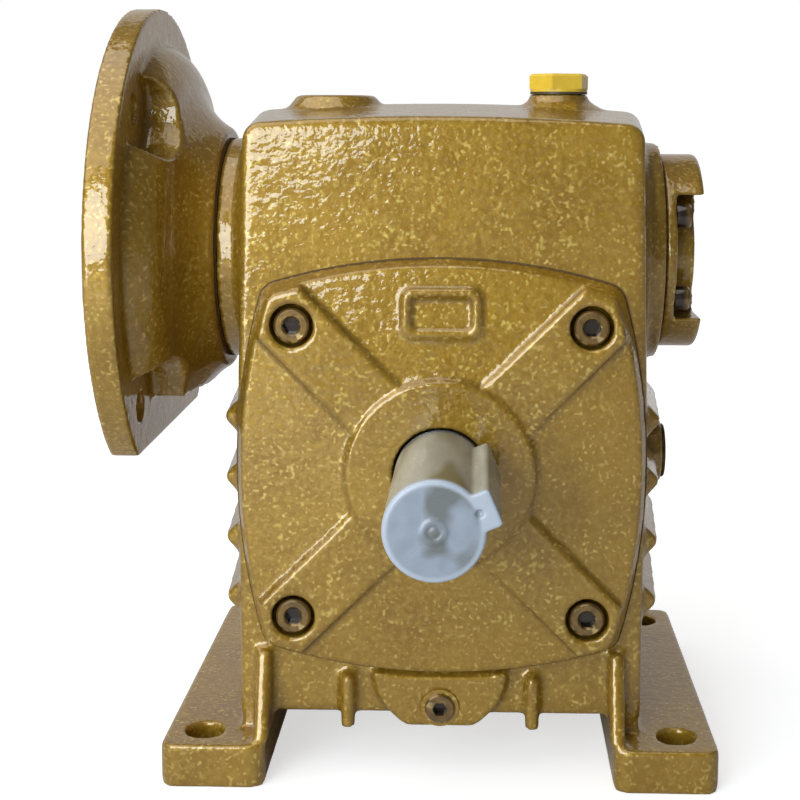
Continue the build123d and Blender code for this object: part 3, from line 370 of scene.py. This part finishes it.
def paint(piece, material):
    """Gives the piece one material in place of any it has."""
    piece.data.materials.clear()
    piece.data.materials.append(material)


def soften(node, width):
    """Rounds a CAD part's edges with a small bevel."""
    piece = NODES[node]
    weld = piece.modifiers.new("Weld", "WELD")
    weld.merge_threshold = 0.01 * MM
    bevel = piece.modifiers.new("Bevel", "BEVEL")
    bevel.width = width
    bevel.segments = 3
    bevel.limit_method = "ANGLE"
    bevel.angle_limit = radians(35)


# ---------------------------------------------------------------- the castings
gold = gold_paint()
# voxel size in millimetres and smoothing steps
CASTINGS = {
    "housing": (1.3, 5),
    "front_cover": (0.95, 2),
    "rear_cover": (1.1, 2),
    "motor_flange": (1.15, 3),
    "worm_end_cover": (0.8, 3),
}
for shell, (voxel, steps) in CASTINGS.items():
    paint(cast_copy(shell, voxel * MM, steps), gold)

# ---------------------------------------------------------------- the shaft cap
cap = remeshed("shaft_cap", "shaft_cap_soft", 0.55 * MM, 3)
cap.data.shade_smooth()
paint(cap, cap_plastic())
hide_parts("shaft_cap")
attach(cap, "cap")

# ---------------------------------------------------------------- materials of the CAD parts
LOOKS = {
    "gasket": grained("gasket_fibre", (0.090, 0.048, 0.010), (0.140, 0.078, 0.018),
                      0.8 * MM, 5, 0.08 * MM, 0.6, stretch=(1, 4, 1), Roughness=0.8),
    "seal_rubber": grained("seal_rubber", (0.200, 0.115, 0.050), (0.260, 0.155, 0.070),
                           0.5 * MM, 4, 0.06 * MM, 0.6, Roughness=0.55),
    "screw_steel": painted_screw(),
    "yellow_plastic": yellow_plastic(),
    "washer": grained("dark_washer", (0.050, 0.038, 0.018), (0.095, 0.070, 0.030),
                      0.6 * MM, 4, 0.05 * MM, 0.5, Roughness=0.5),
    "sight_ring": turned("dark_brass", (0.110, 0.066, 0.022), (0.050, 0.030, 0.012),
                         (5 * MM, 3, 0.40, 0.66), (0.34, 0.50), depth=0.05 * MM, metallic=0.8),
    "sight_glass": sight_glass(),
    "ground_steel": steel("ground_steel", (0.56, 0.56, 0.57), 0.30),
    "bearing_steel": steel("bearing_steel", (0.62, 0.62, 0.64), 0.18),
    "pressed_steel": steel("pressed_steel", (0.42, 0.42, 0.43), 0.38),
    "cast_iron": grained("machined_cast_iron", (0.055, 0.055, 0.058), (0.14, 0.14, 0.145),
                         0.9 * MM, 5, 0.1 * MM, 0.6, Metallic=0.8, Roughness=0.55),
    "bronze": turned("cut_bronze", (0.47, 0.27, 0.10), (0.33, 0.17, 0.06),
                     (10 * MM, 3, 0.4, 0.7), (0.22, 0.38)),
}
for entry in frame["record"]["subparts"]:
    if entry["material_slot"] in LOOKS:
        paint(NODES[entry["node"]], LOOKS[entry["material_slot"]])

# heads that show, the axis they face along, and whether their top is the low end (0) or the
# high end (1) of their box
HEADS = (("front_cover_screws", "Y", 0), ("rear_cover_screws", "Y", 1), ("end_cover_screws", "X", 1),
         ("drain_plug", "Y", 0))
for node, axis, end in HEADS:
    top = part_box(node)[end]["XYZ".index(axis)]
    paint(NODES[node], painted_screw(node, axis, top))
# the drain plug's washer was painted over with the casting
paint(NODES["drain_plug_washer"], gold)

# edge roundings in millimetres
BEVELS = {
    "vent_plug": 0.7,
    "drain_plug": 0.4,
    "front_cover_screws": 0.5,
    "rear_cover_screws": 0.5,
    "end_cover_screws": 0.4,
}
for node, width in BEVELS.items():
    soften(node, width * MM)

# ---------------------------------------------------------------- floor
FLOOR_REACH = 6
FLOOR_GREY = (0.60, 0.60, 0.60)
FLOOR_GLOW = 0.62
corners = [(x * FLOOR_REACH, y * FLOOR_REACH, 0) for x, y in ((-1, -1), (1, -1), (1, 1), (-1, 1))]
floor_mesh = bpy.data.meshes.new("floor")
floor_mesh.from_pydata(corners, [], [(0, 1, 2, 3)])
floor = bpy.data.objects.new("floor", floor_mesh)
bpy.context.scene.collection.objects.link(floor)
# the floor is lifted to paper white only as seen, so it throws no extra light on the object
floor_look = Nodes("pale_floor")
looked_at = floor_look.add("ShaderNodeLightPath").outputs["Is Camera Ray"]
glow = floor_look.math("MULTIPLY", looked_at, FLOOR_GLOW)
floor_look.set(Base_Color=FLOOR_GREY, Roughness=0.8, Emission_Color=(1, 1, 1), Emission_Strength=glow)
paint(floor, floor_look.material)

# ---------------------------------------------------------------- light
WHITE = (1, 1, 1, 1)
ROOM_STRENGTH = 0.14
BACKDROP_STRENGTH = 1.0
# a dim room to light the object, a white backdrop to see it against
world = bpy.data.worlds.new("studio")
bpy.context.scene.world = world
world.use_nodes = True
tree = world.node_tree
room = tree.nodes["Background"]
room.inputs["Color"].default_value = WHITE
room.inputs["Strength"].default_value = ROOM_STRENGTH
backdrop = tree.nodes.new("ShaderNodeBackground")
backdrop.inputs["Color"].default_value = WHITE
backdrop.inputs["Strength"].default_value = BACKDROP_STRENGTH
seen = tree.nodes.new("ShaderNodeLightPath")
either = tree.nodes.new("ShaderNodeMixShader")
tree.links.new(seen.outputs["Is Camera Ray"], either.inputs[0])
tree.links.new(room.outputs[0], either.inputs[1])
tree.links.new(backdrop.outputs[0], either.inputs[2])
tree.links.new(either.outputs[0], tree.nodes["World Output"].inputs["Surface"])


def soft_light(name, spot, target, size, power, colour=(1, 1, 1)):
    """A rectangular light at spot, facing target, its width and height in metres, its power in watts."""
    data = bpy.data.lights.new(name, "AREA")
    data.shape = "RECTANGLE"
    data.size, data.size_y = size
    data.energy = power
    data.color = colour
    light = bpy.data.objects.new(name, data)
    light.location = spot
    light.rotation_euler = (Vector(target) - Vector(spot)).to_track_quat("-Z", "Y").to_euler()
    bpy.context.scene.collection.objects.link(light)
    return light


window = soft_light("window", spot=(-0.60, -1.10, 0.43), target=(-0.60, 0, 0.43), size=(0.80, 0.70),
                    power=14, colour=(0.84, 0.93, 1.0))
WINDOW_LEAN = radians(22)
window.rotation_euler.rotate_axis("Z", WINDOW_LEAN)
back_card = soft_light("back card", spot=(0, 1.4, 0.8), target=(0, 0, 0.8), size=(2.8, 1.6), power=6.5)
back_card.visible_camera = False
SKY_STRENGTH = 2.1
SKY_SPREAD = radians(75)
SKY_DIRECTION = Vector((0.55, 0.25, -1.0))
sky = bpy.data.lights.new("sky", "SUN")
sky.energy = SKY_STRENGTH
sky.angle = SKY_SPREAD
sky_light = bpy.data.objects.new("sky", sky)
sky_light.rotation_euler = SKY_DIRECTION.to_track_quat("-Z", "Y").to_euler()
bpy.context.scene.collection.objects.link(sky_light)

# ---------------------------------------------------------------- camera
# 0.64 m in front of the body's middle and just below its top, looking slightly down
CAMERA_AT = (0.01455, -0.640, 0.2617)
YAW = radians(1.263)
PITCH = radians(6.972)
ROLL = radians(0.328)
LENS_MM = 67.56
SENSOR_MM = 36
SHIFT_X = -0.059
SHIFT_Y = -0.130
FARTHEST = 50
forward = Vector((-sin(YAW) * cos(PITCH), cos(YAW) * cos(PITCH), -sin(PITCH)))
level_right = Vector((cos(YAW), sin(YAW), 0))
level_up = level_right.cross(forward)
right = cos(ROLL) * level_right + sin(ROLL) * level_up
up = cos(ROLL) * level_up - sin(ROLL) * level_right
camera_data = bpy.data.cameras.new("camera")
camera_data.lens = LENS_MM
camera_data.sensor_width = SENSOR_MM
camera_data.shift_x = SHIFT_X
camera_data.shift_y = SHIFT_Y
camera_data.clip_end = FARTHEST
camera = bpy.data.objects.new("camera", camera_data)
camera.matrix_world = Matrix((*zip(right, up, -forward, CAMERA_AT), (0, 0, 0, 1)))
bpy.context.scene.collection.objects.link(camera)
bpy.context.scene.camera = camera
bpy.context.scene.view_settings.view_transform = "Standard"
